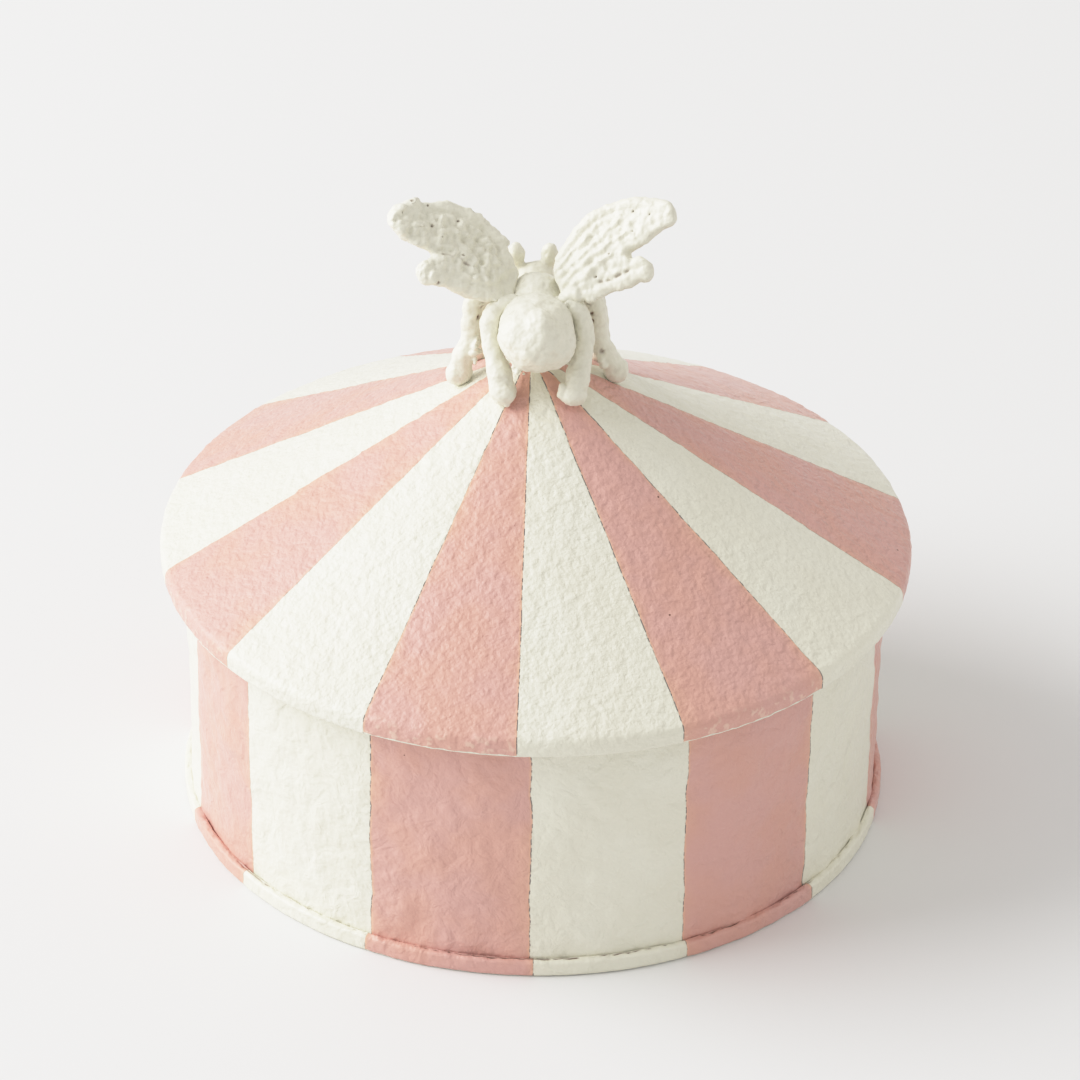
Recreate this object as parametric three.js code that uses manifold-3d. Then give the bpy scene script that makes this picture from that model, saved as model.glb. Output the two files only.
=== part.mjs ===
// A round keepsake box in the form of a small hat box: a painted sheet-steel wall on a pressed base pan,
// and a tent-shaped lid that lifts straight off by a cast bee.
//
// Millimetres, +Z up. The origin is the centre of the box's underside, and -Y is the front: the bee faces +Y.
import * as THREE from "three";
import { mergeVertices } from "three/addons/utils/BufferGeometryUtils.js";
import Module from "manifold-3d";

const wasm = await Module();
wasm.setup();

// ---- driving dimensions ----
const sheet = 1.0; // painted steel sheet, all over
const film = 0.3; // solder or paint between pieces that touch
const facets = 72; // sides of the large turned pieces
const smallFacets = 16; // sides of the screw, the washer and the bee's boss

const wallRadius = 69.9; // outside of the wall
const hemRadius = 71.3; // outside of the base pan's upturned hem
const hemHeight = 3.7;
const hemCorner = 1.0; // outer radius of the pan's bottom bend

const lidRadius = 75.0; // outside of the lid's skirt
const rimHeight = 57.7; // where the cone and the skirt would meet in a sharp corner
const skirtBottom = 54.1; // free edge of the skirt
const rimBend = 2.0; // outer radius of the bend between cone and skirt
const conePitch = 0.56; // rise of the cone for each millimetre inwards
const crownRadius = 5.0; // flat crown that the bee stands on

const collarPlay = 0.7; // radial clearance of the lid's locating collar in the wall
const collarDrop = 12.0; // how far the collar reaches down inside the wall
const collarFlange = 5.0; // width of the flange that is spot-welded under the cone

const screwRadius = 2.0; // M4
const screwHoleRadius = 2.25;
const screwHeadRadius = 4.0;
const screwHeadHeight = 2.6;
const washerRadius = 4.5;
const washerThickness = 0.8;
const screwReach = 8.0; // thread that enters the bee

const beeTurn = THREE.MathUtils.degToRad(3.5); // the bee stands a little off the stripes

// ---- dimensions that follow ----
const coneAngle = Math.atan(conePitch);
const sheetUpright = sheet / Math.cos(coneAngle); // the cone's thickness measured straight up
const coneTop = (radius) => rimHeight + (lidRadius - radius) * conePitch;
const coneUnderside = (radius) => coneTop(radius) - sheetUpright;
const crownHeight = coneTop(crownRadius);
const wallInside = wallRadius - sheet;
const wallTop = coneUnderside(wallRadius) - film;
const collarRadius = wallInside - collarPlay;

// ---- colours ----
const stripedEnamel = { color: 0xe3b9ad, roughness: 0.55, metalness: 0.0 };
const whiteEnamel = { color: 0xecebdf, roughness: 0.6, metalness: 0.0 };
const zincPlate = { color: 0xb8b9bb, roughness: 0.4, metalness: 1.0 };

// ---- helpers ----
const point = (x, y) => new THREE.Vector2(x, y);

// A closed profile of [radius, height] pairs, listed anticlockwise, turned about the Z axis.
function turned(profile, sides = facets) {
  const closed = [...profile, profile[0]].map(([radius, height]) => point(radius, height));
  return new THREE.LatheGeometry(closed, sides).rotateX(Math.PI / 2);
}

// Points of a round corner from one angle to another, both in degrees.
function corner(centreX, centreY, radius, from, to, steps = 4) {
  return Array.from({ length: steps + 1 }, (_, i) => {
    const angle = THREE.MathUtils.degToRad(from + ((to - from) * i) / steps);
    return [centreX + radius * Math.cos(angle), centreY + radius * Math.sin(angle)];
  });
}

function ball(radii, centre, across = 18, down = 12) {
  return new THREE.SphereGeometry(1, across, down)
    .rotateX(Math.PI / 2)
    .scale(...radii)
    .translate(...centre);
}

// A three.js geometry as a manifold-3d solid.
function solid(geometry) {
  const bare = geometry.clone();
  bare.deleteAttribute("normal");
  bare.deleteAttribute("uv");
  const merged = mergeVertices(bare, 1e-4);
  return new wasm.Manifold(
    new wasm.Mesh({
      numProp: 3,
      vertProperties: new Float32Array(merged.attributes.position.array),
      triVerts: new Uint32Array(merged.index.array),
    }),
  );
}

// A manifold-3d solid as a three.js geometry.
function geometryOf(made) {
  const mesh = made.getMesh();
  return new THREE.BufferGeometry()
    .setAttribute("position", new THREE.BufferAttribute(mesh.vertProperties, 3))
    .setIndex(new THREE.BufferAttribute(mesh.triVerts, 1));
}

function joined(geometries) {
  return geometries.map(solid).reduce((a, b) => a.add(b));
}

function named(name, geometry, look) {
  const mesh = new THREE.Mesh(geometry, new THREE.MeshStandardMaterial(look));
  mesh.name = name;
  return mesh;
}

// ---- the box ----

// Pressed base: a flat disc with its edge turned up round the foot of the wall.
function basePan() {
  const hemInside = wallRadius + film;
  return named(
    "base_pan",
    turned([
      [0, 0],
      ...corner(hemRadius - hemCorner, hemCorner, hemCorner, -90, 0),
      ...corner(hemRadius - 0.4, hemHeight - 0.4, 0.4, 0, 90, 2),
      [hemInside, hemHeight],
      [hemInside, sheet],
      [0, sheet],
    ]),
    stripedEnamel,
  );
}

// The wall: a strip rolled into a ring, its ends butt-welded at the back and dressed flush.
function bodyWall() {
  const foot = sheet + film;
  return named(
    "body_wall",
    turned([
      [wallInside, foot],
      [wallRadius, foot],
      [wallRadius, wallTop],
      [wallInside, wallTop],
    ]),
    stripedEnamel,
  );
}

// ---- the lid ----

// A spun cone with a flat crown and a short skirt turned down at the rim.
function lidCone() {
  const tilt = THREE.MathUtils.radToDeg(coneAngle);
  const bendRun = rimBend * Math.tan((Math.PI / 2 - coneAngle) / 2); // sharp corner to start of bend
  const bendCentre = [lidRadius - rimBend, rimHeight - bendRun];
  return named(
    "lid_cone",
    turned([
      [lidRadius - sheet, skirtBottom],
      [lidRadius, skirtBottom],
      ...corner(...bendCentre, rimBend, 0, 90 - tilt),
      [crownRadius, crownHeight],
      [screwHoleRadius, crownHeight],
      [screwHoleRadius, crownHeight - sheet],
      [crownRadius - sheet * Math.tan(coneAngle / 2), crownHeight - sheet],
      ...corner(...bendCentre, rimBend - sheet, 90 - tilt, 0),
    ]),
    stripedEnamel,
  );
}

// The locating collar: a ring that drops inside the wall, with a flange turned in under the cone.
function lidCollar() {
  const flangeTop = (radius) => coneUnderside(radius) - film;
  const inner = collarRadius - sheet;
  const flangeEnd = collarRadius - collarFlange;
  const collarBottom = wallTop - collarDrop;
  return named(
    "lid_collar",
    turned([
      [inner, collarBottom],
      [collarRadius, collarBottom],
      [collarRadius, flangeTop(collarRadius)],
      [flangeEnd, flangeTop(flangeEnd)],
      [flangeEnd, flangeTop(flangeEnd) - sheetUpright],
      [inner, flangeTop(inner) - sheetUpright],
    ]),
    whiteEnamel,
  );
}

// M4 pan-head screw that holds the bee down from inside the lid, and the washer under its head.
const washerTop = crownHeight - sheet - film;
const headTop = washerTop - washerThickness - film;

function knobWasher() {
  return named(
    "knob_washer",
    turned(
      [
        [screwHoleRadius, washerTop - washerThickness],
        [washerRadius, washerTop - washerThickness],
        [washerRadius, washerTop],
        [screwHoleRadius, washerTop],
      ],
      smallFacets,
    ),
    zincPlate,
  );
}

function knobScrew() {
  const headBottom = headTop - screwHeadHeight;
  const head = turned(
    [
      [0, headBottom],
      ...corner(screwHeadRadius - 1.2, headBottom + 1.2, 1.2, -90, 0, 3),
      [screwHeadRadius, headTop],
      [screwRadius, headTop],
      [screwRadius, crownHeight + film + screwReach],
      [0, crownHeight + film + screwReach],
    ],
    smallFacets,
  );
  const slot = (length, width) =>
    new THREE.BoxGeometry(length, width, 2.4).translate(0, 0, headBottom);
  const recess = joined([slot(4.4, 0.9), slot(0.9, 4.4)]);
  return named("knob_screw", geometryOf(solid(head).subtract(recess)), zincPlate);
}

// ---- the bee ----
// Modelled facing +Y and evenly about its own middle. Its castings are brazed together and painted over.

const abdomen = { radii: [7.8, 10.0, 7.6], centre: [0, -6.5, 106.4] };
const thorax = { radii: [6.2, 6.4, 6.2], centre: [0, 3.0, 109.0] };
const head = { radii: [4.6, 4.0, 4.4], centre: [0, 11.2, 108.0] };
const feeler = { radii: [1.8, 1.8, 3.3], centre: [3.4, 12.2, 113.8] };
const bossRadius = 3.4;

// The body, each ball swollen by margin so that a neighbour can be cut clear of it.
function beeBodySolid(margin) {
  const swollen = ({ radii, centre }, side = 1) =>
    ball(
      radii.map((r) => r + margin),
      [centre[0] * side, centre[1], centre[2]],
    );
  const foot = crownHeight + film;
  const boss = turned(
    [
      [0, foot],
      [bossRadius + margin, foot],
      [bossRadius + margin, thorax.centre[2]],
      [0, thorax.centre[2]],
    ],
    smallFacets,
  );
  return joined([
    swollen(abdomen),
    swollen(thorax),
    swollen(head),
    swollen(feeler, 1),
    swollen(feeler, -1),
    boss,
  ]);
}

function beeBody() {
  const thread = turned(
    [
      [0, crownHeight - 1],
      [screwHoleRadius, crownHeight - 1],
      [screwHoleRadius, crownHeight + film + screwReach + 1],
      [0, crownHeight + film + screwReach + 1],
    ],
    12,
  );
  return named("bee_body", geometryOf(beeBodySolid(0).subtract(solid(thread))), whiteEnamel);
}

// A fore wing and a hind wing cast as one plate. The outline runs along and across it, from the root.
const wingRoot = [4.0, 2.0, 112.0];
const wingThickness = 2.4;
const wingAlong = new THREE.Vector3(0.835, 0, 0.551).normalize();
const wingNormal = new THREE.Vector3(-0.432, -0.62, 0.655).normalize();
const wingOutline = [
  [0, 3.0],
  [6, 6.8],
  [15, 8.4],
  [24, 6.2],
  [29, 2.6],
  [30.2, -0.6],
  [28, -3.0],
  [23, -3.3],
  [17.2, -2.6],
  [20.6, -5.0],
  [20.4, -7.8],
  [17.6, -8.6],
  [12, -7.6],
  [6, -5.8],
  [0, -2.4],
];

function beeWing(side, keepClear) {
  const bevel = 0.6;
  const curve = new THREE.SplineCurve(wingOutline.map(([x, y]) => point(x, y)));
  const shape = new THREE.Shape(curve.getPoints(45));
  const plate = new THREE.ExtrudeGeometry(shape, {
    depth: wingThickness - 2 * bevel,
    bevelThickness: bevel,
    bevelSize: bevel,
    bevelOffset: -bevel,
    bevelSegments: 1,
    steps: 1,
  }).translate(0, 0, bevel - wingThickness / 2);
  const across = new THREE.Vector3().crossVectors(wingNormal, wingAlong);
  const place = new THREE.Matrix4()
    .makeBasis(wingAlong, across, wingNormal)
    .setPosition(...wingRoot);
  const mirror = new THREE.Matrix4().makeScale(side, 1, 1);
  let wing = solid(plate.applyMatrix4(place)).subtract(keepClear);
  if (side < 0) wing = wing.mirror([1, 0, 0]);
  return named(side < 0 ? "bee_left_wing" : "bee_right_wing", geometryOf(wing), whiteEnamel);
}

// A leg is a bent rod with a rounded foot that stands on the cone. Its path runs from the hip down.
const legs = {
  front: {
    radius: 1.6,
    foot: [12.5, 12.1],
    path: [
      [3.0, 6.5, 106.5],
      [8.6, 9.6, 107.0],
      [11.2, 11.4, 103.6],
      [11.8, 11.9, 98.5],
    ],
  },
  middle: {
    radius: 1.7,
    foot: [16.0, 0.5],
    path: [
      [3.5, 3.6, 106.8],
      [10.6, 3.0, 108.4],
      [13.2, 2.2, 104.8],
      [13.2, 1.8, 100.4],
    ],
  },
  rear: {
    radius: 2.0,
    foot: [6.1, -11.2],
    path: [
      [3.0, -0.4, 107.4],
      [7.6, -2.2, 108.4],
      [10.1, -3.8, 106.8],
      [10.1, -5.8, 103.2],
      [8.6, -8.8, 99.8],
    ],
  },
};
const footSwell = 1.25; // the foot's radius over the leg's

function beeLeg(name, side, keepClear) {
  const { radius, foot, path } = legs[name];
  const footRadius = radius * footSwell;
  const lift = (footRadius + film) / Math.cos(coneAngle) + 0.15;
  const sole = [foot[0], foot[1], coneTop(Math.hypot(...foot)) + lift];
  const line = new THREE.CatmullRomCurve3([...path, sole].map((p) => new THREE.Vector3(...p)));
  const section = new THREE.Shape().absarc(0, 0, radius, 0, 2 * Math.PI);
  const rod = new THREE.ExtrudeGeometry(section, {
    extrudePath: line,
    steps: 12,
    curveSegments: 6,
  });
  const toe = ball([footRadius, footRadius, footRadius], sole, 10, 7);
  let leg = joined([rod, toe]).subtract(keepClear);
  if (side < 0) leg = leg.mirror([1, 0, 0]);
  return named(`bee_${name}_${side < 0 ? "left" : "right"}_leg`, geometryOf(leg), whiteEnamel);
}

function bee() {
  const group = new THREE.Group();
  group.rotation.z = beeTurn;
  const keepClear = beeBodySolid(film);
  group.add(beeBody());
  for (const side of [-1, 1]) {
    group.add(beeWing(side, keepClear));
    for (const name of Object.keys(legs)) group.add(beeLeg(name, side, keepClear));
  }
  return group;
}

const box = new THREE.Group();
box.add(basePan(), bodyWall());
box.add(lidCone(), lidCollar(), knobWasher(), knobScrew(), bee());

export default box;
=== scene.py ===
import math
import random

import bpy
import numpy as np
from mathutils import Matrix, Vector, noise


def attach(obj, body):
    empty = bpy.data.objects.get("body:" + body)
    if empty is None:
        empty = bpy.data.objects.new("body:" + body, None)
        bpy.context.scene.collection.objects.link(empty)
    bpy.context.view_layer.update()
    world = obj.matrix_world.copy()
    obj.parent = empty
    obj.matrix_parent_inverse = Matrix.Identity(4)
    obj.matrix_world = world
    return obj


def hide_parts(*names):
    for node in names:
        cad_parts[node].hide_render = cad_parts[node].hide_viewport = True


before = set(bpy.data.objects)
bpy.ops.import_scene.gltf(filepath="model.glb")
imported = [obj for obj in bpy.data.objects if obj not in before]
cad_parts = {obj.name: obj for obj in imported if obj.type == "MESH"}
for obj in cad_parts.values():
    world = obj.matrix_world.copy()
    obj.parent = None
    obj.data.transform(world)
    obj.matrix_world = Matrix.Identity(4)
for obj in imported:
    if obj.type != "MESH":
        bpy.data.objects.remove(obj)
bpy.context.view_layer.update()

scene = bpy.context.scene
bpy.ops.object.select_all(action="DESELECT")


# ======== Camera ========
# A long lens, level with a standing person's eye, looks down on the box from the front.

bpy.ops.object.camera_add()
camera = bpy.context.object
camera.name = "camera"
camera.data.lens = 178.8
camera.matrix_world = (
    Matrix.Translation((0, -0.9089, 0.6258))
    @ Matrix.Rotation(math.radians(-0.05), 4, "Z")
    @ Matrix.Rotation(math.radians(57.9), 4, "X")
    @ Matrix.Rotation(math.radians(0.82), 4, "Z")
)
scene.camera = camera
scene.view_settings.view_transform = "Standard"

# Highlights roll off softly, as on film, so bright paint stays tinted.
brightest = 3
scene.view_settings.use_curve_mapping = True
film = scene.view_settings.curve_mapping
film.clip_max_x = brightest
film.clip_max_y = 1
film_curve = film.curves[3]
film_curve.points[1].location = (brightest, 1)
for light_in, light_out in [(0.3, 0.3), (0.6, 0.6), (0.8, 0.757), (1.0, 0.853), (1.3, 0.93), (1.8, 0.98)]:
    film_curve.points.new(light_in, light_out)
film.update()


# ======== Table and light ========
# A seamless pale table top under one large soft light from the upper left, in a bright room that
# fills most of the shadows. A warm card at the right throws a little light back.

bpy.ops.mesh.primitive_plane_add(size=8)
floor = bpy.context.object
floor.name = "floor"

paper = bpy.data.materials.new("paper")
paper.use_nodes = True
paper_finish = paper.node_tree.nodes["Principled BSDF"]
paper_finish.inputs["Base Color"].default_value = (0.832, 0.832, 0.832, 1)
paper_finish.inputs["Roughness"].default_value = 0.9
paper_finish.inputs["Specular IOR Level"].default_value = 0.2
floor.data.materials.append(paper)

room = bpy.data.worlds.new("room")
room.use_nodes = True
room.node_tree.nodes["Background"].inputs["Color"].default_value = (1.0, 0.985, 0.965, 1)
room.node_tree.nodes["Background"].inputs["Strength"].default_value = 0.65
scene.world = room


def soft_light(name, place, size, power):
    """A square of soft light at a place, turned towards the box."""
    bpy.ops.object.light_add(type="AREA", location=place)
    light = bpy.context.object
    light.name = name
    light.data.size = size
    light.data.energy = power
    light.rotation_euler = (Vector((0, 0, 0.05)) - Vector(place)).to_track_quat("-Z", "Y").to_euler()
    return light


soft_light("window_light", (-1.7, 0.08, 1.09), 1.6, 50)
soft_light("card_bounce", (1.7, 0.2, 0.8), 1.2, 3.6).data.color = (1.0, 0.92, 0.82)


# ======== Base pan ========
# A disc pressed from 1 mm steel sheet. Its edge is turned up into a low hem round the foot of the
# wall, and enamelled with it, so the paint bridges the crease between them here and there.


def turned(name, profile, around):
    """A ring of sheet metal: a circle drawn out along a profile of (radius, height) pairs in mm,
    closed on itself or on its axis, and smoothed."""
    points = [(max(radius, 0.01) / 1000, height / 1000) for radius, height in profile]
    bpy.ops.object.select_all(action="DESELECT")
    bpy.ops.mesh.primitive_circle_add(vertices=around, radius=points[0][0], location=(0, 0, points[0][1]))
    piece = bpy.context.object
    piece.name = piece.data.name = name
    bpy.ops.object.transform_apply()
    bpy.ops.object.mode_set(mode="EDIT")
    for (radius, height), (next_radius, next_height) in zip(points, points[1:]):
        bpy.ops.mesh.extrude_region_move(
            TRANSFORM_OT_translate={"value": (0, 0, next_height - height)}
        )
        spread = next_radius / radius
        bpy.ops.transform.resize(value=(spread, spread, 1), center_override=(0, 0, next_height))
    bpy.ops.mesh.select_all(action="SELECT")
    bpy.ops.mesh.remove_doubles(threshold=0.00003)
    bpy.ops.mesh.normals_make_consistent(inside=False)
    bpy.ops.object.mode_set(mode="OBJECT")
    smoothing = piece.modifiers.new("smoothing", "SUBSURF")
    smoothing.levels = smoothing.render_levels = 2
    bpy.ops.object.modifier_apply(modifier="smoothing")
    bpy.ops.object.shade_smooth()
    return piece


def bend(centre, radius, start, end, steps):
    """Points of a round bend in a profile, from one angle to another in degrees."""
    angles = np.radians(np.linspace(start, end, steps + 1))
    return [(centre[0] + radius * math.cos(a), centre[1] + radius * math.sin(a)) for a in angles]


def straight(start, end, steps):
    """Points of a straight stretch of a profile, without its first one."""
    return [
        (start[0] + (end[0] - start[0]) * i / steps, start[1] + (end[1] - start[1]) * i / steps)
        for i in range(1, steps + 1)
    ]


def vertex_places(piece):
    """Where a piece's vertices lie, one row each, in metres."""
    places = np.empty(len(piece.data.vertices) * 3)
    piece.data.vertices.foreach_get("co", places)
    return places.reshape(-1, 3)


def paint_outside(piece, borders, is_outside, miss=0.0):
    """Marks the painted outside, where the enamel lies thick, in a vertex group, and counts its stripes
    in a UV map: u runs 0 to 14 round the box from the first border, and v is 1 where there are stripes.
    borders are the degrees from the front at which each stripe begins, the first comes round last, and
    miss is by how many mm they all pass the axis, as lines ruled along a broad ruler do."""
    places = vertex_places(piece) * 1000
    radius = np.hypot(places[:, 0], places[:, 1])
    outside = is_outside(radius, places[:, 2])
    group = piece.vertex_groups.new(name="outside")
    group.add(np.flatnonzero(outside).tolist(), 1.0, "REPLACE")
    corners = np.empty(len(piece.data.loops), dtype=int)
    piece.data.loops.foreach_get("vertex_index", corners)
    starts = np.empty(len(piece.data.polygons), dtype=int)
    piece.data.polygons.foreach_get("loop_start", starts)
    totals = np.empty(len(piece.data.polygons), dtype=int)
    piece.data.polygons.foreach_get("loop_total", totals)
    degrees = np.degrees(np.arctan2(places[:, 0], -places[:, 1]) + miss / np.maximum(radius, 3))[corners]
    degrees = (degrees - borders[0]) % 360
    first = np.repeat(degrees[starts], totals)
    degrees = degrees + 360 * ((first - degrees > 180) * 1.0 - (degrees - first > 180) * 1.0)
    turns = np.array(borders) - borders[0]
    knots = np.concatenate([turns[-2:] - 360, turns, turns[1:3] + 360])
    count = np.interp(degrees, knots, np.arange(-2, len(turns) + 2))
    striped = np.repeat(outside[corners][starts], totals)
    stripes = piece.data.uv_layers.new(name="stripes")
    stripes.data.foreach_set("uv", np.column_stack([count, striped]).ravel())


def ripple(piece, name, size, height, kind="SOFT_NOISE"):
    """Pushes the painted outside in and out by a cloudy pattern, size and height in mm."""
    clouds = bpy.data.textures.new(name, "CLOUDS")
    clouds.noise_scale = size / 1000
    clouds.noise_depth = 1
    clouds.noise_type = kind
    ripples = piece.modifiers.new(name, "DISPLACE")
    ripples.texture = clouds
    ripples.texture_coords = "LOCAL"
    ripples.vertex_group = "outside" if "outside" in piece.vertex_groups else ""
    ripples.strength = height / 1000
    bpy.context.view_layer.objects.active = piece
    bpy.ops.object.modifier_apply(modifier=name)


def put(tree, kind, settings=None, **sockets):
    """Adds a node to a material. settings are its options, and sockets its inputs by name, with _ for
    a space: a value is set and an output is linked."""
    made = tree.nodes.new(kind)
    for option, value in (settings or {}).items():
        setattr(made, option, value)
    for name, value in sockets.items():
        number = name[1:]
        socket = made.inputs[int(number)] if number.isdigit() else made.inputs[name.replace("_", " ")]
        if isinstance(value, bpy.types.NodeSocket):
            tree.links.new(value, socket)
        else:
            socket.default_value = value
    return made


def calc(tree, operation, a, b=0.0, c=0.0):
    """Works out a value inside a material."""
    return put(tree, "ShaderNodeMath", {"operation": operation}, _0=a, _1=b, _2=c).outputs[0]


def between(tree, value, low, high, low_gives=0.0, high_gives=1.0):
    """Turns a value smoothly from one level to another between two limits."""
    levels = {"From Min": low, "From Max": high, "To Min": low_gives, "To Max": high_gives}
    made = put(tree, "ShaderNodeMapRange", {"interpolation_type": "SMOOTHSTEP"}, Value=value)
    for name, level in levels.items():
        made.inputs[name].default_value = level
    return made.outputs["Result"]


def blotches(tree, place, size, detail=2.0, distortion=0.0):
    """A cloudy value about 0.5 with blotches of a size in mm."""
    sockets = {"Scale": 1000 / size, "Detail": detail, "Distortion": distortion}
    return put(tree, "ShaderNodeTexNoise", Vector=place, **sockets).outputs[0]


def mixed(tree, share, a, b):
    """Mixes two colours."""
    return put(tree, "ShaderNodeMix", {"data_type": "RGBA"}, _0=share, _6=a, _7=b).outputs[2]


# The colours of the enamel. The white is mixed with cream here and there, and the pink with mauve,
# and where the pink is thin the peach undercoat shows, or the white on bumps that are rubbed.
WHITE = (0.80, 0.78, 0.655, 1)
CREAM = (0.82, 0.805, 0.685, 1)
PINK = (0.69, 0.385, 0.32, 1)
MAUVE = (0.685, 0.395, 0.35, 1)
PEACH = (0.78, 0.455, 0.32, 1)
RUBBED = (0.86, 0.62, 0.5, 1)
PENCIL = (0.20, 0.18, 0.17, 1)
# The dark brown below colours stray specks, and is also painted into cracks and crevices as shade.
DIRT_AND_SHADE = (0.14, 0.07, 0.045, 1)
STRIPES = 14


def brushed_stripes(tree, place, white, tone, fleck, peel, wander, bare_below):
    """Stripes of pink brushed over the white between pencilled borders. tone, fleck and peel are cloudy
    values of the enamel, wander is how far a border strays in mm, and bare_below the height in mm that
    the pink doesn't reach."""
    x, y, z = put(tree, "ShaderNodeSeparateXYZ", Vector=place).outputs
    stripes = put(tree, "ShaderNodeUVMap", {"uv_map": "stripes"}).outputs[0]
    count, striped, _ = put(tree, "ShaderNodeSeparateXYZ", Vector=stripes).outputs

    # How wide a stripe is here, and how far from its borders this point lies, in mm.
    radius = calc(tree, "ADD", calc(tree, "MULTIPLY", x, x), calc(tree, "MULTIPLY", y, y))
    radius = calc(tree, "SQRT", radius)
    width = calc(tree, "MULTIPLY", radius, 1000 * 2 * math.pi / STRIPES)
    tremble = calc(tree, "MULTIPLY", blotches(tree, place, 1.6), 0.35)
    stray = calc(tree, "ADD", blotches(tree, place, 11), tremble)
    stray = calc(tree, "MULTIPLY", calc(tree, "SUBTRACT", stray, 0.675), 2 * wander)
    drawn = calc(tree, "ADD", count, calc(tree, "DIVIDE", stray, width))
    across = calc(tree, "FRACT", drawn)
    inwards = calc(tree, "SUBTRACT", 0.5, calc(tree, "ABSOLUTE", calc(tree, "SUBTRACT", across, 0.5)))
    inwards = calc(tree, "MULTIPLY", inwards, width)
    is_pink = calc(tree, "FLOORED_MODULO", calc(tree, "FLOOR", drawn), 2.0)
    is_pink = calc(tree, "COMPARE", is_pink, 0.0, 0.5)
    above = calc(tree, "ADD", calc(tree, "MULTIPLY", z, 1000), fleck)
    above = calc(tree, "SUBTRACT", above, bare_below + 0.5)
    is_pink = calc(tree, "MULTIPLY", is_pink, calc(tree, "GREATER_THAN", above, 0.0))
    is_pink = calc(tree, "MULTIPLY", is_pink, striped)

    # Thin pink at the borders lets the peach undercoat show, and at the foot bumps are rubbed pale.
    pink = mixed(tree, between(tree, tone, 0.36, 0.62), PINK, MAUVE)
    broad = calc(tree, "ADD", inwards, calc(tree, "MULTIPLY", tone, 9.0))
    pink = mixed(tree, between(tree, broad, 3.0, 7.5, 0.32, 0.0), pink, PEACH)
    off_front = calc(tree, "ABSOLUTE", calc(tree, "SUBTRACT", count, 3.5))
    front = between(tree, off_front, 1.7, 2.4, 1.0, 0.4)
    thin = calc(tree, "ADD", inwards, calc(tree, "MULTIPLY", fleck, 0.8))
    thin = calc(tree, "MULTIPLY", front, between(tree, thin, 0.5, 1.0, 0.8, 0.0))
    pink = mixed(tree, thin, pink, PEACH)
    low = between(tree, above, 1.5, 4.5, 0.5, 0.0)
    rubbed = calc(tree, "MULTIPLY", between(tree, peel, 0.55, 0.66), low)
    pink = mixed(tree, rubbed, pink, RUBBED)
    paint = mixed(tree, is_pink, white, pink)

    # The pencil is rubbed thin by the brush, and shows best on the borders at the front.
    dotted = between(tree, blotches(tree, place, 1.0, 1), 0.42, 0.54, 0.15, 1.0)
    faded = between(tree, blotches(tree, place, 18), 0.36, 0.52, 0.45, 1.0)
    broken = calc(tree, "MULTIPLY", dotted, faded)
    line = calc(tree, "MULTIPLY", between(tree, inwards, 0.07, 0.16, 1.0, 0.0), broken)
    line = calc(tree, "MULTIPLY", calc(tree, "MULTIPLY", line, striped), front)

    # The pink of the stripes at the right was laid on thicker.
    off_right = calc(tree, "ABSOLUTE", calc(tree, "SUBTRACT", count, 6.6))
    thick = calc(tree, "MULTIPLY", between(tree, off_right, 0.6, 2.6, 1.0, 0.0), is_pink)
    thick = calc(tree, "MULTIPLY", thick, peel)
    return mixed(tree, line, paint, PENCIL), line, thick, striped


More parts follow.
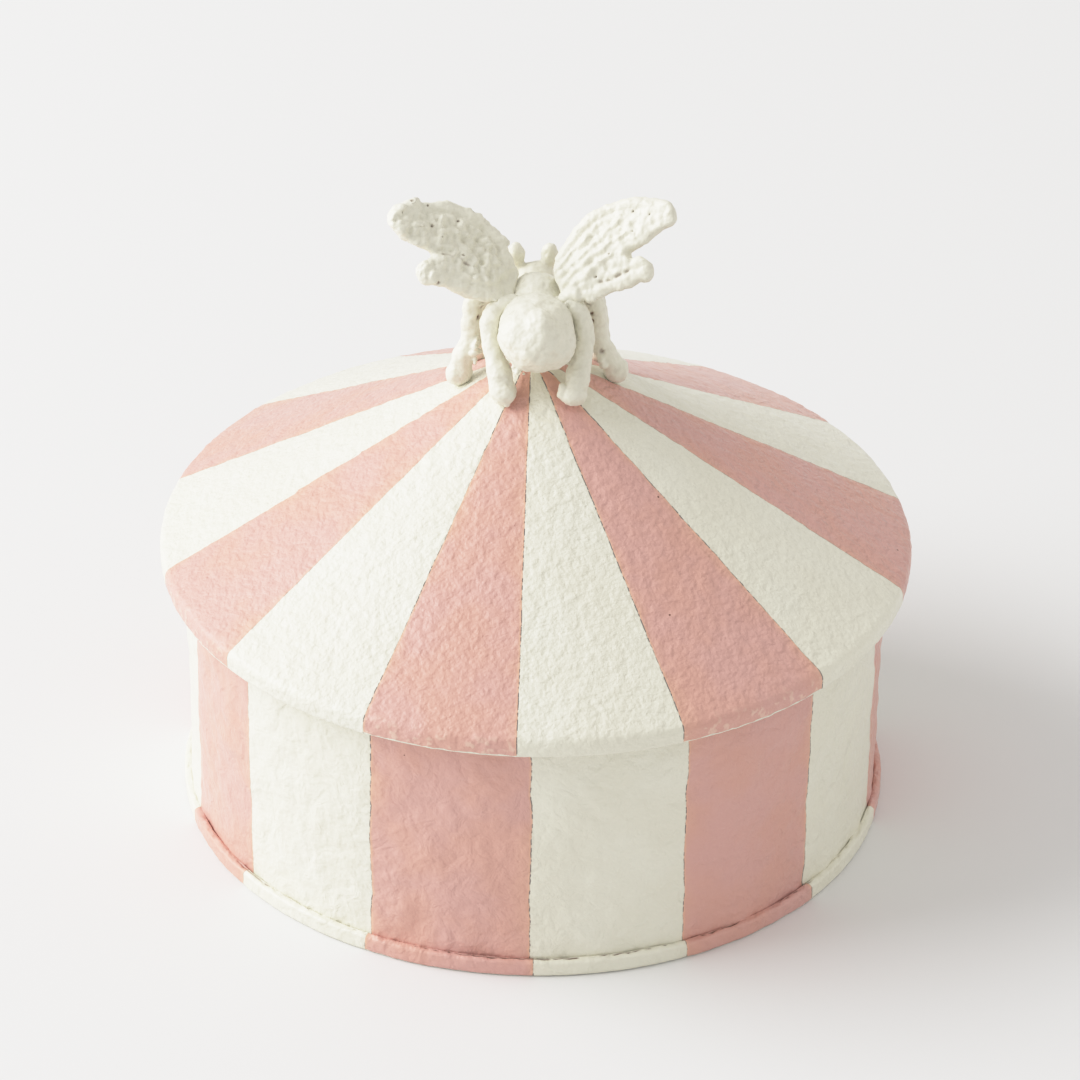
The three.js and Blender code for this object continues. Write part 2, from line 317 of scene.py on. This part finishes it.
def enamel(name, peel_height, crease_height, wander=None, bare_below=None):
    """Thick satin enamel: orange peel and longer creases of given heights in mm. Where wander is given
    the outside is striped, and the inside is left white and is smoother."""
    material = bpy.data.materials.new(name)
    material.use_nodes = True
    tree = material.node_tree
    finish = tree.nodes["Principled BSDF"]
    place = put(tree, "ShaderNodeTexCoord").outputs["Object"]

    # Broad tones, flecks, then the bumps: peel with a finer grain on it, and long soft creases.
    tone = blotches(tree, place, 13, 3)
    fleck = blotches(tree, place, 2.5, 3)
    peel = blotches(tree, place, 1.5, 1.5)
    grain = blotches(tree, place, 0.7, 2)
    crease = blotches(tree, place, 4.5, 3, 1.0)
    paint = mixed(tree, between(tree, tone, 0.35, 0.7), WHITE, CREAM)
    relief = calc(tree, "ADD", calc(tree, "MULTIPLY", peel, peel_height),
                  calc(tree, "MULTIPLY", grain, peel_height * 0.4))
    relief = calc(tree, "ADD", relief, calc(tree, "MULTIPLY", crease, crease_height))

    # The pencil is pressed into the paint. Inside, the relief is levelled to an eighth.
    if wander is not None:
        stripes = brushed_stripes(tree, place, paint, tone, fleck, peel, wander, bare_below)
        paint, line, thick, striped = stripes
        relief = calc(tree, "SUBTRACT", relief, calc(tree, "MULTIPLY", line, 0.05))
        relief = calc(tree, "ADD", relief, calc(tree, "MULTIPLY", thick, 0.5))
        relief = calc(tree, "SUBTRACT", relief, 0.5 * (1.4 * peel_height + crease_height))
        relief = calc(tree, "MULTIPLY", relief, between(tree, striped, 0, 1, 0.12, 1.0))

    # Dark brown in a stray speck here and there, and in the darkening the pieces carry: painted shade in
    # cracks, crevices, the wing groove and the valleys of the rough skin, and darkened pinholes.
    cells = put(tree, "ShaderNodeTexVoronoi", Vector=place, Scale=1000 / 13.0)
    speck = between(tree, cells.outputs["Distance"], 0.012, 0.02, 1.0, 0.0)
    shade_and_pinholes = put(tree, "ShaderNodeAttribute", {"attribute_name": "shade_and_pinholes"}).outputs["Fac"]
    paint = mixed(tree, calc(tree, "MAXIMUM", speck, shade_and_pinholes), paint, DIRT_AND_SHADE)

    bump = put(tree, "ShaderNodeBump", Height=relief, Distance=0.001, Strength=1.0)
    tree.links.new(paint, finish.inputs["Base Color"])
    tree.links.new(bump.outputs[0], finish.inputs["Normal"])
    tree.links.new(between(tree, fleck, 0.3, 0.7, 0.42, 0.58), finish.inputs["Roughness"])
    finish.inputs["Specular IOR Level"].default_value = 0.4
    finish.inputs["Sheen Weight"].default_value = 0.2
    finish.inputs["Sheen Roughness"].default_value = 0.35
    finish.inputs["Coat Weight"].default_value = 0.25
    finish.inputs["Coat Roughness"].default_value = 0.3
    return material


# Where each stripe of the box begins, in degrees round from the front, pink first, and by how many
# degrees the stripes of the hem were painted out of line with those of the wall.
box_borders = [
    -73.5, -52.6, -26.4, -0.1, 25.1, 50.5, 76.4, 102.7, 128.9, 155.2, 181.5, 207.7, 234.0, 260.2, 286.5
]
hem_slips = [0.3, -0.8, -0.5, 0.6, 0.3, 0.9, -0.4, 0.5, -0.6, 0.2, 0.7, -0.3, 0.4, -0.5, 0.3]

wall_radius = 69.9
hem_radius = 71.3
hem_height = 3.7
box_enamel = enamel("box_enamel", 0.22, 0.6, wander=0.55, bare_below=-4)

pan = turned(
    "pan",
    [(0, 0), (3, 0), (35, 0), (66, 0), (wall_radius, 0)]
    + bend((hem_radius - 0.8, 0.8), 0.8, -90, 0, 3)[1:]
    + straight((hem_radius, 0.8), (hem_radius, hem_height - 0.7), 3)
    + bend((hem_radius - 0.6, hem_height - 0.7), 0.6, 10, 75, 2)
    + [(70.5, hem_height), (70.25, 3.72), (70.05, hem_height), (69.8, 3.6), (69.75, 2.6), (69.8, 1.2)]
    + [(69.6, 1.0), (66, 1.0), (35, 1.0), (3, 1.0), (0, 1.0)],
    around=160,
)
paint_outside(pan, [border + slip for border, slip in zip(box_borders, hem_slips)],
              lambda radius, height: (radius > 71.0) | ((radius > 69.65) & (height > 1.3)))
ripple(pan, "hem_waves", 6, 0.2)
ripple(pan, "hem_lumps", 1.6, 0.2)

# Enamel fills the crease between hem and wall, all but a dotted crack at the front, which is darkened with
# painted shade.
crack_radius = wall_radius + 0.32
shade_and_pinholes = pan.data.attributes.new("shade_and_pinholes", "FLOAT", "POINT")
for vertex in pan.data.vertices:
    radius, height = math.hypot(vertex.co.x, vertex.co.y) * 1000, vertex.co.z * 1000
    if radius > 69.97 and height > hem_height - 0.7:
        along = vertex.co.copy()
        along.z = 0
        crack = noise.noise(along * 1100) * 1.2 + noise.noise(along * 60) * 1.8 - 0.05
        crack = min(1.0, max(0.0, crack * 3)) * math.exp(-(((radius - crack_radius) / 0.2) ** 2))
        # The painted shade in the crack fades away from the front.
        crack *= min(1.0, max(0.2, -vertex.co.y / 0.035 - 0.6))
        bead = 0.3 * math.exp(-(((radius - 70.4) / 0.4) ** 2)) * noise.noise(along * 650)
        vertex.co.z += (bead - 0.2 * crack) / 1000
        shade_and_pinholes.data[vertex.index].value = crack
pan.data.materials.append(box_enamel)
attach(pan, "box")
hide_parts("base_pan")


# ======== Wall ========
# A strip of the same sheet rolled into a ring and butt-welded at the back. Knocks from the rolling
# show as shallow dents under the brushed enamel.

wall_foot = 1.3
wall_top = 59.1
wall = turned(
    "wall",
    [(wall_radius - 0.9, wall_foot), (wall_radius, wall_foot)]
    + straight((wall_radius, wall_foot), (wall_radius, wall_top - 0.3), 22)
    + bend((wall_radius - 0.4, wall_top - 0.4), 0.4, 0, 180, 3)
    + straight((wall_radius - 0.8, wall_top - 0.4), (wall_radius - 1, 30), 2)
    + [(wall_radius - 1, 2.0), (wall_radius - 0.9, wall_foot)],
    around=150,
)
paint_outside(wall, box_borders, lambda radius, height: (radius > 69.6) & (height > 1.5))
ripple(wall, "wall_dents", 13, 1.0)
ripple(wall, "wall_creases", 6, 0.5, "HARD_NOISE")
ripple(wall, "wall_orange_peel", 2.6, 0.12)
wall.data.materials.append(box_enamel)
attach(wall, "box")
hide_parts("body_wall")


# ======== Lid ========
# A cone of sheet spun over a former, with a short skirt turned down at the rim and a flat crown
# for the knob. Its enamel is stippled on thick, so it dries like orange peel.

lid_borders = [
    -76.0, -51.0, -24.3, -1.2, 23.5, 48.8, 75.9, 102.0, 127.0, 153.0, 179.0, 205.0, 231.5, 257.4, 284.0
]
lid_radius = 75.0
rim = 57.7       # height at which the cone would meet the skirt, but for the bend between them
slope = 0.56
skirt_foot = 54.3
crown = 96.9
screw_hole = 2.25


def on_cone(radius, depth=0.0):
    """A point of the lid's profile on the cone, or a depth in mm under it."""
    return radius, rim + (lid_radius - radius) * slope - depth


lid_enamel = enamel("lid_enamel", 0.40, 0.30, wander=0.2, bare_below=54.6)
tilt = math.degrees(math.atan(slope))
lid = turned(
    "lid",
    [(74.1, 54.2), (74.5, 54.1), (lid_radius, skirt_foot)]
    + straight((lid_radius, skirt_foot), (lid_radius, 56.4), 2)
    + bend((lid_radius - 2.0, 56.54), 2.0, 5, 90 - tilt, 3)
    + straight(on_cone(73.6), on_cone(5.2), 24)
    + [(4.4, crown), (screw_hole, crown), (screw_hole, crown - 1), (4.4, crown - 1)]
    + straight(on_cone(4.6, 1.15), on_cone(73.0, 1.15), 5)
    + [(74.0, 56.6), (74.0, 55.4), (74.1, 54.2)],
    around=140,
)
paint_outside(lid, lid_borders,
              lambda radius, height: (height > on_cone(radius, 0.6)[1]) | (radius > 74.8), miss=1.5)
ripple(lid, "lid_swells", 9, 0.25)
ripple(lid, "lid_orange_peel", 2.0, 0.35)
lid.data.materials.append(lid_enamel)
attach(lid, "lid")
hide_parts("lid_cone")


# ======== Collar ========
# A rolled ring spot-welded under the cone by a flange. It drops inside the wall and keeps the lid
# from sliding off. White like all of the inside.

collar_radius = 68.2
collar_inside = collar_radius - 1
collar = turned(
    "collar",
    [(67.35, 47.2), (67.7, 47.1), (68.05, 47.2), (collar_radius, 47.6)]
    + straight((collar_radius, 47.6), (collar_radius, 58.6), 3)
    + [(67.8, 59.9), (67.0, 60.45), (63.3, 62.5), (63.1, 62.1), (63.3, 61.5)]
    + [(66.4, 59.75), (67.0, 59.2), (collar_inside, 58.4)]
    + straight((collar_inside, 58.4), (collar_inside, 47.6), 3)
    + [(67.35, 47.2)],
    around=120,
)

inside_enamel = enamel("inside_enamel", 0.08, 0.04)
collar.data.materials.append(inside_enamel)
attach(collar, "lid")
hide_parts("lid_collar")


# ======== Screw and washer ========
# A zinc-plated M4 pan-head screw comes up through the crown of the lid into the bee, with a plain
# washer under its head. Both are seen only from inside the lid.

washer = turned(
    "washer",
    [(2.3, 94.95), (2.45, 94.8), (4.3, 94.8), (4.45, 94.95), (4.45, 95.45), (4.3, 95.6), (2.45, 95.6)]
    + [(2.3, 95.45), (2.3, 94.95)],
    around=32,
)
screw = turned(
    "screw",
    [(0, 91.9), (1.2, 91.9)]
    + bend((2.4, 93.4), 1.55, -85, -5, 4)
    + [(3.95, 93.5), (4.0, 94.4), (3.9, 94.5), (2.1, 94.5)]
    + [(2.0, 94.6), (2.0, 104.6), (1.6, 105.1), (0, 105.1)],
    around=32,
)

# The cross recess in its head.
for length, breadth in [(4.4, 0.9), (0.9, 4.4)]:
    bpy.ops.mesh.primitive_cube_add(size=0.001, location=(0, 0, 0.0919), scale=(length, breadth, 2.4))
    cutter = bpy.context.object
    recess = screw.modifiers.new("recess", "BOOLEAN")
    recess.object = cutter
    recess.solver = "EXACT"
    bpy.context.view_layer.objects.active = screw
    bpy.ops.object.modifier_apply(modifier="recess")
    bpy.data.objects.remove(cutter)

zinc = bpy.data.materials.new("zinc_plate")
zinc.use_nodes = True
tree = zinc.node_tree
finish = tree.nodes["Principled BSDF"]
place = put(tree, "ShaderNodeTexCoord").outputs["Object"]
cloud = blotches(tree, place, 1.5, 3)
bump = put(tree, "ShaderNodeBump", Height=blotches(tree, place, 0.25, 2), Distance=0.00003, Strength=1.0)
bright_zinc = mixed(tree, cloud, (0.62, 0.63, 0.65, 1), (0.74, 0.73, 0.70, 1))
tree.links.new(bright_zinc, finish.inputs["Base Color"])
tree.links.new(between(tree, cloud, 0.3, 0.7, 0.28, 0.42), finish.inputs["Roughness"])
tree.links.new(bump.outputs[0], finish.inputs["Normal"])
finish.inputs["Metallic"].default_value = 1.0
for fastener, node in [(washer, "knob_washer"), (screw, "knob_screw")]:
    fastener.data.materials.append(zinc)
    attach(fastener, "lid")
    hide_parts(node)


# ======== Bee's body ========
# One rough sand casting: abdomen, thorax, head, two thick feelers and the boss that the screw holds.
# It is dipped in the white enamel, which rounds every corner.

knob_enamel = enamel("knob_enamel", 0.24, 0.15)


def lump(place, radii):
    """An egg of metal at a place, with its three radii, all in mm."""
    bpy.ops.mesh.primitive_uv_sphere_add(
        segments=48, ring_count=32, radius=0.001, location=[n / 1000 for n in place], scale=radii
    )
    return bpy.context.object


def crumbs(start, end, spread, number, size):
    """Beads of braze scattered along a line, in mm."""
    beads = []
    for _ in range(number):
        along = random.random()
        place = [a + (b - a) * along + random.gauss(0, spread) for a, b in zip(start, end)]
        radius = size * random.uniform(0.6, 1.3)
        bpy.ops.mesh.primitive_ico_sphere_add(
            subdivisions=2, radius=radius / 1000, location=[n / 1000 for n in place]
        )
        beads.append(bpy.context.object)
    return beads


def as_mesh(name, curve):
    """Turns a curve into a mesh object."""
    piece = bpy.data.objects.new(name, curve)
    bpy.context.collection.objects.link(piece)
    bpy.ops.object.select_all(action="DESELECT")
    piece.select_set(True)
    bpy.context.view_layer.objects.active = piece
    bpy.ops.object.convert(target="MESH")
    return piece


def rod(stations):
    """A round bent rod through stations of (x, y, z, radius) in mm."""
    curve = bpy.data.curves.new("rod", "CURVE")
    curve.dimensions = "3D"
    curve.bevel_depth = 0.001
    curve.bevel_resolution = 6
    curve.use_fill_caps = True
    line = curve.splines.new("BEZIER")
    line.bezier_points.add(len(stations) - 1)
    for knot, (x, y, z, radius) in zip(line.bezier_points, stations):
        knot.co = (x / 1000, y / 1000, z / 1000)
        knot.radius = radius
        knot.handle_left_type = knot.handle_right_type = "AUTO"
    return as_mesh("rod", curve)


def cast(name, parts, node, crust=0.14, shaded_crevices=()):
    """Melts parts together into one casting with a rough skin. crust is the height of the roughness in mm,
    and the spots (x, y, z, radius) in mm given last are painted shade in crevices; the valleys of the skin
    get a little painted shade too."""
    bpy.ops.object.select_all(action="DESELECT")
    for part in parts:
        part.select_set(True)
    bpy.context.view_layer.objects.active = parts[0]
    bpy.ops.object.join()
    piece = bpy.context.object
    piece.name = piece.data.name = name
    bpy.ops.object.transform_apply()
    melt = piece.modifiers.new("melt", "REMESH")
    melt.mode = "VOXEL"
    melt.voxel_size = 0.00026
    bpy.ops.object.modifier_apply(modifier="melt")
    soften = piece.modifiers.new("soften", "SMOOTH")
    soften.factor = 0.5
    soften.iterations = 5
    bpy.ops.object.modifier_apply(modifier="soften")
    ripple(piece, name + "_lumps", 4.0, 0.9)
    shade_and_pinholes = piece.data.attributes.new("shade_and_pinholes", "FLOAT", "POINT")
    moved = []
    for vertex in piece.data.vertices:
        rough = noise.fractal(vertex.co * 800, 0.8, 2.0, 3)
        # The valleys of the rough skin are darkened a little, and the given spots in crevices more: painted
        # shade.
        valley_shade = 0.08 * min(1.0, max(0.0, -rough * 2 - 0.2))
        crevice_shade = 0.0
        for x, y, z, radius in shaded_crevices:
            gap = (vertex.co * 1000 - Vector((x, y, z))).length
            crevice_shade = max(crevice_shade, math.exp(-((gap / radius) ** 2)))
        crevice_shade = min(1.0, crevice_shade * max(0.0, 0.9 - 2.2 * rough))
        shade_and_pinholes.data[vertex.index].value = max(valley_shade, crevice_shade)
        moved.append(vertex.co + vertex.normal * (crust * rough - 0.3 * crevice_shade) / 1000)
    for vertex, place in zip(piece.data.vertices, moved):
        vertex.co = place
    bpy.ops.object.shade_smooth()
    piece.data.materials.append(knob_enamel)
    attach(piece, "lid")
    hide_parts(node)
    return piece


random.seed(7)
abdomen = [
    lump((-0.5, -6.6, 107.3), (7.5, 9.2, 7.2)),
    lump((0.0, -10.2, 108.0), (4.6, 5.4, 6.4)),
    lump((-3.4, -8.6, 108.4), (4.4, 5.6, 5.0)),
    lump((3.0, -8.4, 106.0), (4.2, 5.8, 5.0)),
]
thorax = lump((-0.6, 2.8, 109.2), (5.6, 5.6, 5.5))
head = lump((-0.8, 10.2, 109.2), (4.0, 4.0, 4.2))
feelers = [
    lump((-4.8, 12.0, 113.9), (1.75, 1.75, 2.9)),
    lump((1.9, 12.0, 114.0), (1.75, 1.75, 2.9)),
    lump((-4.1, 11.6, 111.4), (1.3, 1.4, 2.0)),
    lump((1.4, 11.6, 111.4), (1.3, 1.4, 2.0)),
]
boss = lump((0, 0.3, 101.5), (3.4, 3.4, 4.6))
drips = crumbs((-5.2, -11.0, 102.2), (-3.6, -11.4, 100.6), 0.4, 10, 0.55)
cast(
    "body_casting",
    abdomen + [thorax, head] + feelers + [boss] + drips,
    "bee_body",
    # The spots below are painted shade in the crevices between the body, the wing roots and the hind legs.
    shaded_crevices=[
        (-6.2, -9.6, 103.0, 0.7), (5.9, -8.5, 102.6, 0.6), (5.3, 0.2, 112.3, 0.8), (-5.6, 0.2, 112.0, 0.7)
    ],
)


# ======== Bee's wings ========
# A fore wing and a hind wing on each side, cast as one rough plate and brazed to the thorax. Thick
# rims run round them, and the casting sand has left ridges, crust and pinholes between.


def gap_to(line, far, wide):
    """How far a point of the plate lies from a line of points."""
    gap = 99.0
    for (a, b), (c, d) in zip(line, line[1:]):
        share = ((far - a) * (c - a) + (wide - b) * (d - b)) / ((c - a) ** 2 + (d - b) ** 2)
        share = min(1.0, max(0.0, share))
        gap = min(gap, math.hypot(far - a - share * (c - a), wide - b - share * (d - b)))
    return gap


def wings(name, side, root, outline, rims, ridges, groove, pinholes, lumpy, crust, beads, node):
    """One side's pair of wings. outline, rims, ridges, groove and pinholes run along and across the
    plate from its root, in mm; rims and pinholes have a radius besides; lumpy and crust are the heights
    of its lumps and of its roughness."""
    # The plate leans up and out from its root: along it, across it and out of its upper face.
    along = Vector((0.835 * side, 0, 0.551))
    across = Vector((-0.341 * side, 0.785, 0.517))
    normal = Vector((-0.432 * side, -0.62, 0.655))
    root = Vector(root)
    curve = bpy.data.curves.new(name, "CURVE")
    curve.dimensions = "2D"
    curve.fill_mode = "BOTH"
    curve.bevel_depth = 0.00095
    curve.extrude = 0.0003
    curve.offset = -curve.bevel_depth
    curve.bevel_resolution = 3
    edge = curve.splines.new("BEZIER")
    edge.bezier_points.add(len(outline) - 1)
    edge.use_cyclic_u = True
    for knot, (far, wide) in zip(edge.bezier_points, outline):
        knot.co = (far / 1000, wide / 1000, 0)
        knot.handle_left_type = knot.handle_right_type = "AUTO"
    plate = as_mesh(name, curve)
    turn = Matrix((along, across, normal)).transposed().to_4x4()
    plate.matrix_world = Matrix.Translation(root / 1000) @ turn
    bpy.ops.object.transform_apply()
    bpy.ops.object.mode_set(mode="EDIT")
    bpy.ops.mesh.select_all(action="SELECT")
    bpy.ops.mesh.remove_doubles(threshold=0.00001)
    bpy.ops.mesh.normals_make_consistent(inside=False)
    bpy.ops.object.mode_set(mode="OBJECT")
    thick_rims = []
    for rim_line in rims:
        stations = [
            (*(root + along * far + across * wide + normal * 0.25), radius) for far, wide, radius in rim_line
        ]
        thick_rims.append(rod(stations))
    piece = cast(name, [plate] + thick_rims + beads, node, crust)

    # Lumps between the rims, ridges, pinholes and the groove, which is darkened with painted shade, and the
    # hind wing's droop.
    shade_and_pinholes = piece.data.attributes["shade_and_pinholes"]
    moved = []
    for vertex in piece.data.vertices:
        offset = vertex.co * 1000 - root
        far, wide = offset.dot(along), offset.dot(across)
        top = max(0.0, vertex.normal.dot(normal))
        flat = noise.noise(Vector((far, wide, side * 9)) * 0.35)
        crumbly = noise.noise(Vector((far, wide, side * 5)) * 0.75)
        away = min([gap_to([(x, y) for x, y, _ in rim_line], far, wide) for rim_line in rims])
        inside = top * min(1.0, max(0.0, away - 0.8)) * min(1.0, max(0.0, far - 3) / 4)
        lift = inside * lumpy * (0.5 + 0.7 * flat + 0.8 * crumbly + 0.15 * noise.noise(vertex.co * 1300))
        for ridge in ridges:
            lift += 0.45 * top * math.exp(-((gap_to(ridge, far, wide + 0.6 * flat) / 0.6) ** 2))
        depth = 0.0
        for hole_far, hole_wide, size in pinholes:
            gap = math.hypot(far - hole_far, wide - hole_wide) / size
            if gap < 2:
                depth = max(depth, math.exp(-gap * gap * 2) * min(1.0, top + 0.25))
        # Along the groove the colour is darkened with painted shade; the deepest pinholes are darkened too.
        broken = min(1.0, max(0.0, 0.35 + 2.2 * noise.noise(Vector((far, wide, 0)) * 0.9)))
        crack = broken * top * math.exp(-((gap_to(groove, far, wide + 0.3 * flat) / 0.3) ** 2))
        painted_darkening = shade_and_pinholes.data[vertex.index]
        painted_darkening.value = max(painted_darkening.value, depth if depth > 0.3 else 0, 0.6 * crack)
        droop = 0.2 * min(0.0, wide + 2.5) * min(1.0, max(0.0, far - 5) / 4)
        height = lift - 0.6 * depth - 0.4 * crack
        moved.append(vertex.co + (vertex.normal * height + normal * droop) / 1000)
    for vertex, place in zip(piece.data.vertices, moved):
        vertex.co = place


wings(
    "left_wings", -1, (-4.0, 2.3, 111.7),
    outline=[
        (1.2, 2.2), (4.8, 5.6), (7.4, 7.7), (10.4, 8.7), (13.1, 9.0), (17.2, 9.1), (20.7, 7.8),
        (24.8, 5.7), (28.3, 3.4), (30.3, 0.4), (29.6, -2.0), (26.8, -3.1), (22.0, -2.9), (18.9, -3.3),
        (20.2, -5.4), (20.0, -7.5), (18.2, -8.8), (14.9, -7.4), (11.2, -7.2), (7.9, -6.6), (3.9, -5.2),
        (1.6, -3.9),
    ],
    rims=[
        [(3.4, 2.2, 1.5), (6.2, 4.6, 1.6), (9.8, 7.0, 1.5), (14.7, 7.7, 1.5), (19.5, 6.9, 1.4),
         (24.5, 4.5, 1.3)],
        [(3.2, -3.2, 1.5), (7.5, -5.0, 1.5), (13.0, -5.9, 1.4), (17.8, -7.0, 1.6)],
    ],
    ridges=[],
    groove=[(17.5, -2.6), (14.5, -1.6), (12.0, -1.8)],
    pinholes=[
        (21.7, 1.5, 0.34), (17.3, 5.3, 0.34), (15.6, -7.7, 0.4), (13.7, -0.7, 0.3), (24.1, 5.0, 0.3),
        (27.5, 3.4, 0.24), (19.2, 0.2, 0.2), (28.3, 0.6, 0.2),
    ],
    lumpy=1.2,
    crust=0.15,
    beads=crumbs((-6.0, -0.8, 110.8), (-11.5, -3.0, 112.6), 0.35, 9, 0.45),
    node="bee_left_wing",
)
wings(
    "right_wings", 1, (-0.4, 2.3, 111.7),
    outline=[
        (4.8, 2.0), (6.0, 3.6), (8.1, 4.9), (10.2, 6.3), (12.7, 7.6), (15.8, 8.4), (19.0, 8.4),
        (23.0, 7.5), (27.4, 5.7), (30.8, 3.2), (32.0, 0.3), (30.6, -2.0), (27.8, -2.0), (23.5, -2.7),
        (20.0, -3.1), (22.2, -4.8), (23.2, -7.3), (21.8, -9.0), (19.2, -8.6), (15.7, -7.5), (11.2, -7.5),
        (6.8, -5.9), (5.0, -4.8),
    ],
    rims=[
        [(6.2, 2.8, 1.4), (8.4, 4.0, 1.5), (12.6, 6.2, 1.5), (17.0, 7.2, 1.5), (23.0, 6.4, 1.4),
         (28.6, 3.6, 1.4)],
        [(9.0, -6.2, 1.1), (14.0, -6.9, 1.2), (18.0, -7.5, 1.3), (21.7, -7.6, 1.4)],
    ],
    ridges=[
        [(5.4, 1.1), (9.1, 2.3), (12.4, 3.7), (16.2, 5.2)],
        [(5.7, -0.5), (11.3, 1.0), (18.0, 2.8), (21.2, 3.8)],
        [(6.5, -1.8), (13.1, -0.4), (17.6, 0.7), (21.4, 0.9)],
        [(7.2, -3.6), (12.2, -2.7), (16.7, -1.6)],
    ],
    groove=[(11.9, -5.1), (14.6, -5.8), (17.3, -6.0), (20.3, -6.3)],
    pinholes=[(24.3, 4.2, 0.26), (27.2, 1.8, 0.22), (16.7, -1.5, 0.3), (12.3, -4.1, 0.26), (22.8, 0.4, 0.2)],
    lumpy=0.4,
    crust=0.15,
    beads=crumbs((3.6, -1.6, 111.3), (10.5, -3.6, 113.8), 0.45, 30, 0.45),
    node="bee_right_wing",
)


# ======== Bee's legs ========
# Six bent rods with a foot beaten out at the end, brazed into the sides of the thorax. The feet are
# stuck to the lid by the enamel that ran down them.


def leg(name, path, foot, beads, node, shaded_crevices=()):
    """A leg along a path of (x, y, z, radius) in mm from the hip down to a foot at (x, y, radius), which
    stands on the lid's cone."""
    foot_x, foot_y, foot_radius = foot
    _, ground = on_cone(math.hypot(foot_x, foot_y))
    sole = (foot_x, foot_y, ground + foot_radius * 0.98)
    hip, hip_radius = path[0][:3], path[0][3]
    lumps = [lump(sole, (foot_radius, foot_radius, foot_radius * 0.95)), lump(hip, [hip_radius] * 3)]
    cast(name, [rod(path + [(*sole, foot_radius * 0.85)])] + lumps + beads, node, shaded_crevices=shaded_crevices)


# The spots given last for a leg are painted shade in its crevices, from the wing roots down along the leg.
leg(
    "rear_left_leg",
    path=[(-3.5, -1.0, 109.6, 2.0), (-7.1, -1.6, 110.4, 1.95), (-9.3, -3.2, 108.0, 1.95),
          (-9.4, -4.6, 104.8, 1.9), (-8.7, -6.4, 101.8, 2.1), (-7.6, -8.4, 98.6, 2.5)],
    foot=(-6.6, -9.9, 2.75),
    beads=crumbs((-5.0, -11.0, 95.6), (-5.8, -11.8, 94.2), 0.5, 6, 0.6),
    node="bee_rear_left_leg",
    shaded_crevices=[(-8.2, -0.6, 112.2, 0.8), (-9.6, -0.6, 110.6, 0.6), (-10.6, -1.0, 109.2, 0.6)],
)
leg(
    "rear_right_leg",
    path=[(3.0, -0.8, 109.6, 2.0), (6.4, -1.6, 110.4, 1.95), (8.5, -3.2, 107.8, 1.95),
          (8.8, -4.8, 104.6, 1.95), (8.4, -6.6, 101.4, 2.1), (7.8, -8.4, 98.4, 2.5)],
    foot=(7.0, -9.9, 2.6),
    beads=crumbs((4.7, -9.8, 97.2), (5.3, -10.8, 95.2), 0.3, 6, 0.65),
    node="bee_rear_right_leg",
    shaded_crevices=[
        (7.6, -0.6, 112.0, 0.8), (9.0, -0.4, 111.0, 0.7), (10.2, -1.0, 109.2, 0.6), (7.2, -5.4, 101.8, 0.6)
    ],
)
leg(
    "middle_left_leg",
    path=[(-4.5, 2.5, 110.0, 1.9), (-9.5, 2.6, 110.8, 2.0), (-12.7, 2.2, 109.0, 1.95),
          (-13.2, 2.0, 105.2, 1.9), (-13.4, 2.0, 101.6, 1.9), (-14.3, 1.9, 98.2, 2.2)],
    foot=(-15.6, 1.3, 2.6),
    beads=crumbs((-12.1, 0.6, 101.6), (-12.7, -0.2, 97.2), 0.6, 22, 0.6),
    node="bee_middle_left_leg",
    shaded_crevices=[(-11.0, 0.8, 109.0, 0.7), (-11.6, 0.4, 106.4, 0.5), (-12.2, 0.2, 99.8, 0.4)],
)
leg(
    "middle_right_leg",
    path=[(3.5, 3.0, 110.0, 2.0), (7.8, 2.9, 110.9, 2.3), (10.6, 2.6, 109.0, 2.2),
          (11.6, 2.7, 105.0, 1.95), (11.9, 3.1, 100.8, 1.95), (13.1, 3.3, 97.6, 2.3)],
    foot=(15.2, 3.2, 2.6),
    beads=crumbs((11.6, 1.8, 98.6), (12.6, 1.4, 95.8), 0.5, 6, 0.7),
    node="bee_middle_right_leg",
    shaded_crevices=[
        (9.8, 0.9, 109.6, 0.6), (10.2, 0.9, 107.4, 0.5), (10.4, 1.1, 105.6, 0.4), (12.4, 1.4, 98.8, 0.5)
    ],
)
for side, word in [(-1, "left"), (1, "right")]:
    leg(
        f"front_{word}_leg",
        path=[(3.5 * side, 6.0, 108.6, 1.6), (8.4 * side, 9.0, 109.2, 1.7), (11.1 * side, 11.0, 105.5, 1.6),
              (11.9 * side, 11.8, 100.5, 1.6)],
        foot=(12.5 * side, 12.3, 2.2),
        beads=[],
        node=f"bee_front_{word}_leg",
    )
